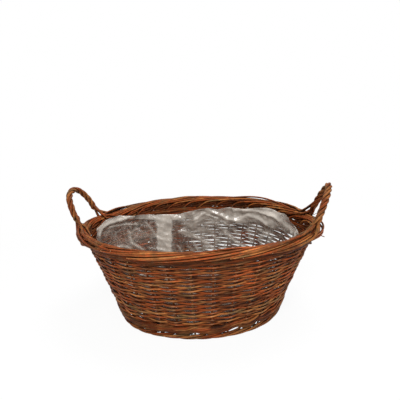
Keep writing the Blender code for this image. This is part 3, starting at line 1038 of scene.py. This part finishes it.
class BASKET_OT_border(bpy.types.Operator):
    """Winds the border, whose rods rise inside, pass over the top and run down outside"""

    bl_idname = "basket.border"
    bl_label = "Border"

    def execute(self, context):
        rng = np.random.default_rng(32)
        bm = new_rods()
        radius = sizes().border_rod
        reach = BORDER_RADIUS - radius
        for number in range(STAKES):
            run = np.linspace(0, rng.uniform(*BORDER_RUN), 76)
            turn = BORDER_START - BORDER_TURN * run + waver(rng, run, 0.10, 0.022)
            spread = 1 + waver(rng, run, 0.14, 0.09) + rng.uniform(-0.06, 0.12)
            around = number + 0.5 + 0.2 - run
            line = on_rope(around, RIM_HEIGHT, turn, reach * spread)
            line[:, 2] -= np.exp(-((run / 0.45) ** 2)) * BORDER_DROP
            radii = radius * np.linspace(1.12, 0.8, len(run)) * rng.uniform(0.92, 1.12)
            add_rod(bm, rng, line, radii, middle=on_wall(around, RIM_HEIGHT))
        share = np.linspace(0, 1, 40)
        for first, last, lift, turn in LIFTED_RODS:
            around = first + (last - first) * share
            raised = reach + lift * np.sin(math.pi * share) ** 1.5
            line = on_rope(around, RIM_HEIGHT, turn - 0.08 * share, raised)
            middle = on_wall(around, RIM_HEIGHT)
            add_rod(bm, rng, line, radius, tone=rng.uniform(0.3, 0.8), middle=middle)
        core = on_wall(np.linspace(0, STAKES, 200), RIM_HEIGHT)
        add_rod(bm, rng, core[:-1], BORDER_CORE, tone=0.1)
        finish_rods(bm, "border_rods", bark("border_bark", 1.85, 0.4, 0.45), ["border"])
        return {"FINISHED"}


# Handles

# Each handle: its seed, where its first and last leg meet the border, its top, and how round it is
HANDLES = {
    "right": (41, (HANDLE_LEG - 0.35, STAKES - HANDLE_LEG - 0.35), (0.2000, 0.006, 0.187), 0.32),
    "left": (42, (16 + HANDLE_LEG, 16.35 - HANDLE_LEG), (-0.1985, 0.0, 0.1885), 0.62),
}

# Ways that a rod takes from a handle's foot: where round the border's rope it starts and ends, how
# far off the rope's middle it starts, how many stakes it runs, and how far down it ends
TAIL_WAYS = (
    (0.235, 0.06, 0.0088, 3.6, 0.0),
    (0.150, -0.04, 0.0086, 3.0, 0.0),
    (0.070, -0.12, 0.0084, 2.3, 0.0),
    (0.330, 0.56, 0.0086, 1.5, 0.002),
    (0.420, 0.60, 0.0080, 1.0, 0.001),
)
TAIL_END_REACH = 0.0052

# How far off the bow a twisted rod lies, in rod radii, how far the bow's legs go down the wall, and
# the bow's radius in the wall and how much less it is above the border
ROPING_REACH = 1.36
BOW_LEG_DEPTH = 0.06
BOW_RADIUS = 0.0018
BOW_THINNING = 0.0007


def handle_line(legs, top, roundness):
    """The middle line of a handle's rope, from its first leg's shoulder over its top to the last."""
    top = np.array(top)
    share = np.linspace(0, 1, 30)[:, None]
    rest = 1 - share
    halves = []
    for leg in legs:
        foot = on_wall(leg, HANDLE_SHOULDER)
        way = foot - on_wall(leg, RIM_HEIGHT)
        way /= np.linalg.norm(way)
        first = foot + way * (top[2] - foot[2]) * roundness
        last = top + np.array([0, (foot[1] - top[1]) * roundness, 0])
        half = foot * rest**3 + 3 * first * rest**2 * share
        halves.append(half + 3 * last * rest * share**2 + top * share**3)
    return through(np.concatenate([halves[0], halves[1][::-1][1:]]), 90)


def foot_tail(rng, leg, side, way):
    """Where a rod goes from the foot of a handle: along the border, outside it or inside it."""
    start, stop, reach, length, drop = way
    share = np.array([0.0, 0.22, 0.5, 0.78, 1.0])
    around = leg + side * (0.18 + length * (share + 0.12 * (length > 3) * (1 - share)))
    turn = start + (stop - start) * share + rng.normal() * 0.008
    near = reach - (reach - TAIL_END_REACH) * share**3
    line = on_rope(around, RIM_HEIGHT, turn, near)
    line[:, 2] -= drop * share**1.5
    return line


def handle_rods(bm, rng, line, legs):
    """Four rods twisted round the bow, whose ends spread over the border. The first rod joins the
    bow further up than the others."""
    way, across = directions(line)
    other = np.cross(way, across)
    gone = gone_along(line)
    size = sizes()
    reach = size.handle_rod * ROPING_REACH
    ropes = np.concatenate([line, on_wall(np.linspace(0, STAKES, 400), RIM_HEIGHT)])
    for rod in range(4):
        turn = math.tau * (rod / 4 + (gone - gone[-1] / 2) / size.handle_turn)
        turn = (turn + waver(rng, gone, 12, 0.12))[:, None]
        wide = reach * (1 + waver(rng, gone, 16, 0.05))[:, None]
        helix = line + (across * np.cos(turn) + other * np.sin(turn)) * wide
        back = foot_tail(rng, legs[0], 1, TAIL_WAYS[rod])
        front = foot_tail(rng, legs[1], -1, TAIL_WAYS[(rod + 2) % 5])
        joins = 14 if rod == 0 else 3
        path = through(np.concatenate([back[::-1], helix[joins:-3:3], front]), 230)
        nearest = np.linalg.norm(path[:, None] - ropes[None], axis=-1).argmin(1)
        share = np.linspace(-1, 1, len(path))
        radii = size.handle_rod * (1.04 - 0.30 * np.abs(share) ** 3)
        add_rod(bm, rng, path, radii, tone=rng.uniform(0.45, 1.0), middle=ropes[nearest])


def bow_core(bm, rng, line, legs):
    """The bow inside the rope, with its legs down the wall."""
    heights = np.linspace(RIM_HEIGHT - BOW_LEG_DEPTH, RIM_HEIGHT, 6)
    sides = [on_wall(leg, heights) for leg in legs]
    path = through(np.concatenate([sides[0], line, sides[1][::-1]]), 120)
    above = eased((path[:, 2] - RIM_HEIGHT) / 0.012)
    add_rod(bm, rng, path, BOW_RADIUS - BOW_THINNING * above, tone=0.3)


class BASKET_OT_handles(bpy.types.Operator):
    """Bends the two bows and twists the rods round them"""

    bl_idname = "basket.handles"
    bl_label = "Handles"

    def execute(self, context):
        for word, (seed, legs, top, roundness) in HANDLES.items():
            rng = np.random.default_rng(seed)
            bm = new_rods()
            line = handle_line(legs, top, roundness)
            handle_rods(bm, rng, line, legs)
            bow_core(bm, rng, line[::3], legs)
            nodes = [f"{word}_handle_bow", f"{word}_handle_roping"]
            material = bark(f"{word}_handle_bark", 0.96, 0.4)
            finish_rods(bm, f"{word}_handle_rods", material, nodes)
        return {"FINISHED"}


# Stray tips: where each starts round the wall, up it and off it, then how far it goes outwards, up
# and round, and its radius
STRAY_TIPS = (
    (31.1, 0.127, 0.006, 0.0095, -0.0010, -0.10, 0.0008),
    (0.9, 0.139, 0.005, 0.0070, 0.0012, 0.10, 0.0005),
    (13.9, 0.137, 0.001, 0.0006, 0.0075, 0.05, 0.0005),
    (24.6, 0.006, 0.002, 0.0030, -0.001, 0.20, 0.0007),
)


class BASKET_OT_twigs(bpy.types.Operator):
    """Adds the tips that stick out of the border and the wall"""

    bl_idname = "basket.twigs"
    bl_label = "Stray twigs"

    def execute(self, context):
        rng = np.random.default_rng(51)
        bm = new_rods()
        share = np.linspace(0, 1, 8)
        for around, height, out, reach, rise, shift, radius in STRAY_TIPS:
            line = on_wall(around + shift * share, height, out + reach * share, rise * share**1.4)
            add_rod(bm, rng, line, radius * (1 - 0.35 * share), tone=0.05)
        finish_rods(bm, "stray_twigs", bark("twig_bark", 0.45), ())
        return {"FINISHED"}


# Liner

def folded(places, rng, waves, strengths):
    """Folds a field over itself along random directions, which leaves straight creases."""
    field = np.zeros(len(places))
    moved = places.copy()
    for wave, strength in zip(waves, strengths):
        way, slide = (one / np.linalg.norm(one) for one in rng.normal(size=(2, moved.shape[1])))
        ridge = np.abs(((moved @ way) * wave + rng.uniform(0, 1)) % 1 - 0.5) * 2
        field += ridge * strength
        moved = moved + np.outer(ridge, slide) * (0.22 / wave)
    return field / np.sum(strengths)


# The film's edge: places counted in stakes, and its height there
FILM_EDGE = (
    (0, 0.114), (0.5, 0.116), (0.9, 0.120), (1.3, 0.125), (1.6, 0.132),
    (1.9, 0.1372), (3.0, 0.1352), (4.0, 0.132), (5.5, 0.1265), (6.4, 0.1250),
    (7.1, 0.122), (7.8, 0.1255), (8.4, 0.123), (9.1, 0.1165), (9.8, 0.1125),
    (11.5, 0.1135), (12.7, 0.1250), (14.0, 0.134), (15.2, 0.134), (16.2, 0.128),
    (20, 0.119), (24, 0.117), (28, 0.118), (30.5, 0.114), (32, 0.114),
)

# Folds that stand out: width, how milky, and their places as (stakes round, height)
FILM_FOLDS = (
    (0.0045, 0.85, ((16.6, 0.118), (15.1, 0.128), (13.8, 0.128))),
    (0.0022, 0.50, ((15.2, 0.120), (13.8, 0.116), (13.0, 0.108))),
    (0.0026, 0.50, ((13.8, 0.100), (13.9, 0.079), (13.2, 0.059))),
    (0.0020, 0.40, ((12.3, 0.106), (11.9, 0.080))),
    (0.0065, 0.60, ((9.9, 0.103), (8.9, 0.081), (7.7, 0.077))),
    (0.0036, 0.85,
     ((7.9, 0.121), (6.3, 0.105), (5.4, 0.105), (4.75, 0.116), (4.0, 0.115), (3.1, 0.108))),
    (0.0022, 0.42, ((7.0, 0.084), (5.7, 0.060), (4.8, 0.051))),
    (0.0022, 0.45, ((7.8, 0.074), (7.0, 0.057))),
    (0.0028, 0.50, ((6.5, 0.096), (5.6, 0.075))),
    (0.0028, 0.45, ((9.8, 0.080), (8.4, 0.060), (7.1, 0.037))),
    (0.0028, 0.45, ((4.6, 0.095), (3.2, 0.087), (2.6, 0.106))),
    (0.0034, 0.75, ((5.8, 0.122), (4.3, 0.125), (2.5, 0.127))),
    (0.0060, 0.55, ((4.3, 0.121), (3.5, 0.120))),
    (0.0045, 0.65, ((2.4, 0.126), (0.9, 0.111))),
)

# A step of one stake round the wall in metres, how many small folds the film has, and the smoothest
# and clearest place on it, with how wide that is
STAKE_STEP = 0.0245
SMALL_FOLDS = 150
CLEAR_PLACE = (13.8, 2.4)

# The film's grid, and the share of its rows that lie on the floor
FILM_COLUMNS = 380
FILM_ROWS = 108
FLOOR_SHARE = 0.3

# How deep the film's forms are: crumpling low on the wall, how much more there is at its edge, and
# on the floor, wrinkles on the wall and on the floor, folds, the billow and its pleats, the lean at
# the right end, and the edge's lean
CRUMPLE_LOW = 0.002
CRUMPLE_MORE = 0.007
CRUMPLE_FLOOR = 0.0030
WRINKLES = 0.0024
WRINKLES_FLOOR = 0.0010
FOLD_DEPTH = 0.004
BILLOW_DEPTH = 0.005
PLEAT_DEPTH = 0.012
END_LEAN = 0.0012
EDGE_LEAN = 0.0035


def film_top(around):
    """The height of the film's edge, which ripples a little."""
    return np.interp(around % STAKES, *zip(*FILM_EDGE)) + 0.0012 * np.sin(around * 2.3)


def near_line(places, points, width):
    """How close each place is to a line through points: 1 on it, fading over its width."""
    near = np.zeros(len(places))
    for start, end in zip(points, points[1:]):
        way = end - start
        share = np.clip((places - start) @ way / (way @ way), 0, 1)
        gap = np.linalg.norm(places - start - share[:, None] * way, axis=1)
        near = np.maximum(near, np.exp(-((gap / width) ** 2)))
    return near


def film_folds(around, heights, rng):
    """How milky the film is made by its folds: those that stand out, and random small ones."""
    stretch = np.array([STAKE_STEP, 1.0])
    places = np.stack([around, heights], -1) * stretch
    milky = np.zeros(len(around))
    for width, strength, points in FILM_FOLDS:
        near = near_line(places, np.array(points) * stretch, width)
        milky = np.maximum(milky, strength * near)
    for _ in range(SMALL_FOLDS):
        start = np.array([rng.uniform(0, STAKES), rng.uniform(0.025, 0.122)]) * stretch
        lean = rng.uniform(-1.3, 1.3)
        way = np.array([math.sin(lean), -math.cos(lean)]) * rng.uniform(0.010, 0.034)
        bend = start + way * 0.5 + rng.normal(size=2) * 0.0025
        width = rng.uniform(0.0011, 0.0024)
        clear = hump(start[0] / STAKE_STEP, *CLEAR_PLACE)
        strength = rng.uniform(0.08, 0.50) * (1 - 0.35 * clear)
        close = np.abs(places - bend).max(1) < 0.03
        near = near_line(places[close], np.array([start, bend, start + way]), width)
        milky[close] = np.maximum(milky[close], strength * near)
    return milky


def film_billow(around, heights):
    """Where the film billows off the wall at the back right, from 0 to 1."""
    above = eased((heights - 0.070 - 0.0035 * (9.5 - around)) / 0.02)
    return above * eased((9.6 - around) / 0.8) * eased((around - 1.0) / 1.5)


def liner_places(around, share, rng):
    """The film's points, over the floor and then up the wall, and how each is crumpled: how far it
    stands in or up, how milky its billow is, and its folds."""
    floor = share < FLOOR_SHARE
    climb = np.clip((share - FLOOR_SHARE) / (1 - FLOOR_SHARE), 0, 1)
    heights = LINER_BOTTOM + 0.0008 + (film_top(around) - LINER_BOTTOM) * climb
    places = on_wall(around, heights, LINER_OUT)
    inner = np.clip(share / FLOOR_SHARE, 0, 1)
    edge = on_wall(around, LINER_BOTTOM + 0 * around, LINER_OUT - 0.002)
    places[floor, :2] = edge[floor, :2] * inner[floor, None]
    flat = places * (1, 1, 0.8)
    crumple = folded(flat, rng, (12, 19, 30, 47), (1.0, 0.8, 0.5, 0.3))
    small = folded(places, rng, (42, 68, 110), (1.0, 0.8, 0.6))
    pleats = folded(flat, rng, (20, 34, 52), (1.0, 0.6, 0.35))
    folds = np.where(floor, 0, film_folds(around, heights, rng))
    billow = film_billow(around, heights)
    inward = (CRUMPLE_LOW + CRUMPLE_MORE * climb) * crumple + WRINKLES * small + FOLD_DEPTH * folds
    inward = inward + billow * (BILLOW_DEPTH + PLEAT_DEPTH * pleats)
    inward = inward + END_LEAN * climb**1.5 * hump(around, 0.2, 2.4)
    inward = inward + EDGE_LEAN * eased((heights - 0.118) / 0.010)
    inward = inward * np.where(floor, 0, 1) * eased(climb / 0.06)
    level = edge[:, :2] / np.linalg.norm(edge[:, :2], axis=1, keepdims=True)
    places[:, :2] -= level * inward[:, None]
    lift = np.where(floor, CRUMPLE_FLOOR * crumple + WRINKLES_FLOOR * small, 0)
    places[:, 2] += lift * (1 - inner**6)
    return places, inward + lift, billow * (0.15 + 0.5 * pleats), folds


def film_creases(field, around):
    """How sharply the film bends, from how its crumpling changes over the grid."""
    grid = field.reshape(FILM_ROWS + 1, FILM_COLUMNS + 1)
    bend = np.zeros_like(grid)
    bend[1:-1] += np.abs(grid[2:] + grid[:-2] - 2 * grid[1:-1])
    bend[:, 1:-1] += np.abs(grid[:, 2:] + grid[:, :-2] - 2 * grid[:, 1:-1])
    return np.clip(bend / 0.0022, 0, 1).ravel() * (1 - 0.5 * hump(around, *CLEAR_PLACE))


def film_layers(around, heights, milky):
    """Where the film lies double or looks milky: a slanting strip and a band at the back left, a hem
    along the edge, and its folds."""
    below_edge = film_top(around) - heights
    slant = 10.9 + (0.110 - heights) * 10 + 0.05 * np.sin(heights * 260)
    strip = eased((0.62 - np.abs(around - slant)) / 0.10) * eased((heights - 0.03) / 0.02)
    band = eased((0.0052 - np.abs(below_edge - 0.0052)) / 0.0012)
    band = band * eased((around - 9.2) / 0.4) * eased((14.5 - around) / 1.5)
    hem = 0.5 * eased((0.0035 - below_edge) / 0.0012)
    return np.clip(np.maximum.reduce([0.85 * strip, 0.9 * band, hem, milky]), 0, 1)


class BASKET_OT_liner(bpy.types.Operator):
    """Lays the crumpled clear film inside the basket"""

    bl_idname = "basket.liner"
    bl_label = "Film liner"

    def execute(self, context):
        rng = np.random.default_rng(61)
        column, row = np.meshgrid(np.arange(FILM_COLUMNS + 1), np.arange(FILM_ROWS + 1))
        around = (column.ravel() % FILM_COLUMNS) / FILM_COLUMNS * STAKES
        places, field, billow, folds = liner_places(around, row.ravel() / FILM_ROWS, rng)
        creases = film_creases(field, around)
        layers = film_layers(around, places[:, 2], billow + 0.8 * folds)
        bm = bmesh.new()
        crease_layer = bm.verts.layers.float.new("crease")
        double_layer = bm.verts.layers.float.new("layers")
        grid = bmesh.ops.create_grid(bm, x_segments=FILM_COLUMNS, y_segments=FILM_ROWS, size=1)
        fields = (places.tolist(), creases.tolist(), layers.tolist())
        for vert, place, crease, double in zip(grid["verts"], *fields):
            vert.co = place
            vert[crease_layer] = crease
            vert[double_layer] = double
        bmesh.ops.remove_doubles(bm, verts=bm.verts[:], dist=WELD)
        bmesh.ops.recalc_face_normals(bm, faces=bm.faces[:])
        for face in bm.faces:
            face.smooth = True
        piece = finish_piece(bm, "liner_film", film_material(), ["liner"], "loose_liner")
        solid = piece.modifiers.new("Film", "SOLIDIFY")
        solid.thickness = sizes().film_thickness
        solid.offset = 0
        return {"FINISHED"}


# Stage

# The camera, fitted to the outlines of the border, the foot, the walls and the handles
CAMERA_PLACE = (0.1059, -0.5316, 0.3178)
CAMERA_YAW = math.radians(-10.23)
CAMERA_PITCH = math.radians(15.38)
CAMERA_ROLL = math.radians(-3.468)
CAMERA_LENS = 32.65

# Each lamp: its place, width, height and power. All of them aim at the middle of the basket.
LAMPS = {
    "key_light": ((0.05, -1.1, 1.25), 0.7, 0.5, 20),
    "top_light": ((0.3, 0.4, 1.5), 0.9, 0.7, 18),
    "side_light": ((1.2, -0.5, 0.8), 0.6, 0.6, 3),
}
LAMP_AIM = (0, 0, 0.08)

# The strength of the light all round, how white the floor looks close to the basket, how far off it
# starts to whiten and is wholly white, and half the floor's width
WORLD_STRENGTH = 0.29
FLOOR_GLOW = 0.92
GLOW_FROM = 0.25
GLOW_FULL = 0.8
FLOOR_HALF = 6


def photo_camera():
    forward = Vector((
        math.sin(CAMERA_YAW) * math.cos(CAMERA_PITCH),
        math.cos(CAMERA_YAW) * math.cos(CAMERA_PITCH),
        -math.sin(CAMERA_PITCH),
    ))
    level = Vector((math.cos(CAMERA_YAW), -math.sin(CAMERA_YAW), 0))
    upright = level.cross(forward)
    right = level * math.cos(CAMERA_ROLL) + upright * math.sin(CAMERA_ROLL)
    upwards = upright * math.cos(CAMERA_ROLL) - level * math.sin(CAMERA_ROLL)
    data = bpy.data.cameras.new("photo_camera")
    data.lens = CAMERA_LENS
    data.sensor_width = 36
    camera = bpy.data.objects.new("photo_camera", data)
    turned = Matrix((right, upwards, -forward)).transposed().to_4x4()
    camera.matrix_world = Matrix.Translation(CAMERA_PLACE) @ turned
    bpy.context.scene.collection.objects.link(camera)
    bpy.context.scene.camera = camera


def area_light(name, place, width, height, power):
    data = bpy.data.lights.new(name, "AREA")
    data.shape = "RECTANGLE"
    data.size = width
    data.size_y = height
    data.energy = power
    light = bpy.data.objects.new(name, data)
    way = Vector(LAMP_AIM) - Vector(place)
    light.rotation_mode = "QUATERNION"
    light.rotation_quaternion = way.to_track_quat("-Z", "Y")
    light.location = place
    bpy.context.scene.collection.objects.link(light)


def seen_rays(tree):
    """Which rays see the backdrop as white: the camera's, and those off gloss and through glass."""
    rays = add_node(tree, "ShaderNodeLightPath").outputs
    seen = maths(tree, "ADD", rays["Is Camera Ray"], rays["Is Glossy Ray"], clamp=True)
    return maths(tree, "ADD", seen, rays["Is Transmission Ray"], clamp=True)


def floor_paper():
    """A matt floor that those rays see as white: wholly so far off, and not quite near the basket,
    where its shadow stays."""
    material, tree, shader = new_material("floor_paper")
    shader.inputs["Base Color"].default_value = (*colours().floor, 1)
    shader.inputs["Roughness"].default_value = 0.9
    seen = seen_rays(tree)
    white = add_node(tree, "ShaderNodeEmission", {"Color": (1, 1, 1, 1), "Strength": 1.0})
    place = add_node(tree, "ShaderNodeTexCoord").outputs["Object"]
    distance = add_node(tree, "ShaderNodeVectorMath", {0: place}, operation="LENGTH")
    far = add_node(
        tree, "ShaderNodeMapRange",
        {
            "Value": distance.outputs["Value"],
            "From Min": GLOW_FROM, "From Max": GLOW_FULL, "To Min": FLOOR_GLOW,
        },
        interpolation_type="SMOOTHSTEP",
    ).outputs["Result"]
    blend = add_node(
        tree, "ShaderNodeMixShader",
        {0: maths(tree, "MULTIPLY", seen, far), 1: shader.outputs[0], 2: white.outputs[0]},
    )
    tree.links.new(blend.outputs[0], tree.nodes["Material Output"].inputs["Surface"])
    return material


def studio_world():
    """Plain soft light all round, which those rays see as white."""
    world = bpy.data.worlds.new("studio")
    world.use_nodes = True
    tree = world.node_tree
    plain = tree.nodes["Background"]
    plain.inputs["Color"].default_value = (1, 1, 1, 1)
    plain.inputs["Strength"].default_value = WORLD_STRENGTH
    white = add_node(tree, "ShaderNodeBackground", {"Color": (1, 1, 1, 1), "Strength": 1.0})
    blend = add_node(
        tree, "ShaderNodeMixShader",
        {0: seen_rays(tree), 1: plain.outputs[0], 2: white.outputs[0]},
    )
    tree.links.new(blend.outputs[0], tree.nodes["World Output"].inputs["Surface"])
    return world


class BASKET_OT_stage(bpy.types.Operator):
    """Sets the floor, the backdrop, the lamps and the camera"""

    bl_idname = "basket.stage"
    bl_label = "Stage"

    def execute(self, context):
        bm = bmesh.new()
        bmesh.ops.create_grid(bm, x_segments=1, y_segments=1, size=FLOOR_HALF)
        mesh = bpy.data.meshes.new("floor")
        bm.to_mesh(mesh)
        bm.free()
        mesh.materials.append(floor_paper())
        floor = bpy.data.objects.new("floor", mesh)
        bpy.context.scene.collection.objects.link(floor)
        bpy.context.scene.world = studio_world()
        bpy.context.scene.view_settings.view_transform = "Standard"
        for name, settings in LAMPS.items():
            area_light(name, *settings)
        photo_camera()
        return {"FINISHED"}


class BASKET_PT_panel(bpy.types.Panel):
    """Lists the basket's pieces, sizes and colours"""

    bl_label = "Willow basket"
    bl_idname = "BASKET_PT_panel"
    bl_space_type = "VIEW_3D"
    bl_region_type = "UI"
    bl_category = "Basket"

    def draw(self, context):
        layout = self.layout
        for settings in (context.scene.basket_sizes, context.scene.basket_colours):
            box = layout.box()
            for name in settings.bl_rna.properties.keys():
                if name not in ("rna_type", "name"):
                    box.prop(settings, name)
        for operator in OPERATORS:
            layout.operator(operator.bl_idname)


OPERATORS = (
    BASKET_OT_base_sticks,
    BASKET_OT_base_weaving,
    BASKET_OT_stakes,
    BASKET_OT_siding,
    BASKET_OT_wales,
    BASKET_OT_foot_border,
    BASKET_OT_border,
    BASKET_OT_handles,
    BASKET_OT_twigs,
    BASKET_OT_liner,
    BASKET_OT_stage,
)

CLASSES = (BasketSizes, BasketColours, *OPERATORS, BASKET_PT_panel)


def register():
    for cls in CLASSES:
        bpy.utils.register_class(cls)
    bpy.types.Scene.basket_sizes = PointerProperty(type=BasketSizes)
    bpy.types.Scene.basket_colours = PointerProperty(type=BasketColours)


def unregister():
    del bpy.types.Scene.basket_colours
    del bpy.types.Scene.basket_sizes
    for cls in reversed(CLASSES):
        bpy.utils.unregister_class(cls)


def main():
    register()
    bpy.ops.basket.base_sticks()
    bpy.ops.basket.base_weaving()
    bpy.ops.basket.stakes()
    bpy.ops.basket.siding()
    bpy.ops.basket.wales()
    bpy.ops.basket.foot_border()
    bpy.ops.basket.border()
    bpy.ops.basket.handles()
    bpy.ops.basket.twigs()
    bpy.ops.basket.liner()
    bpy.ops.basket.stage()


if __name__ == "__main__":
    main()
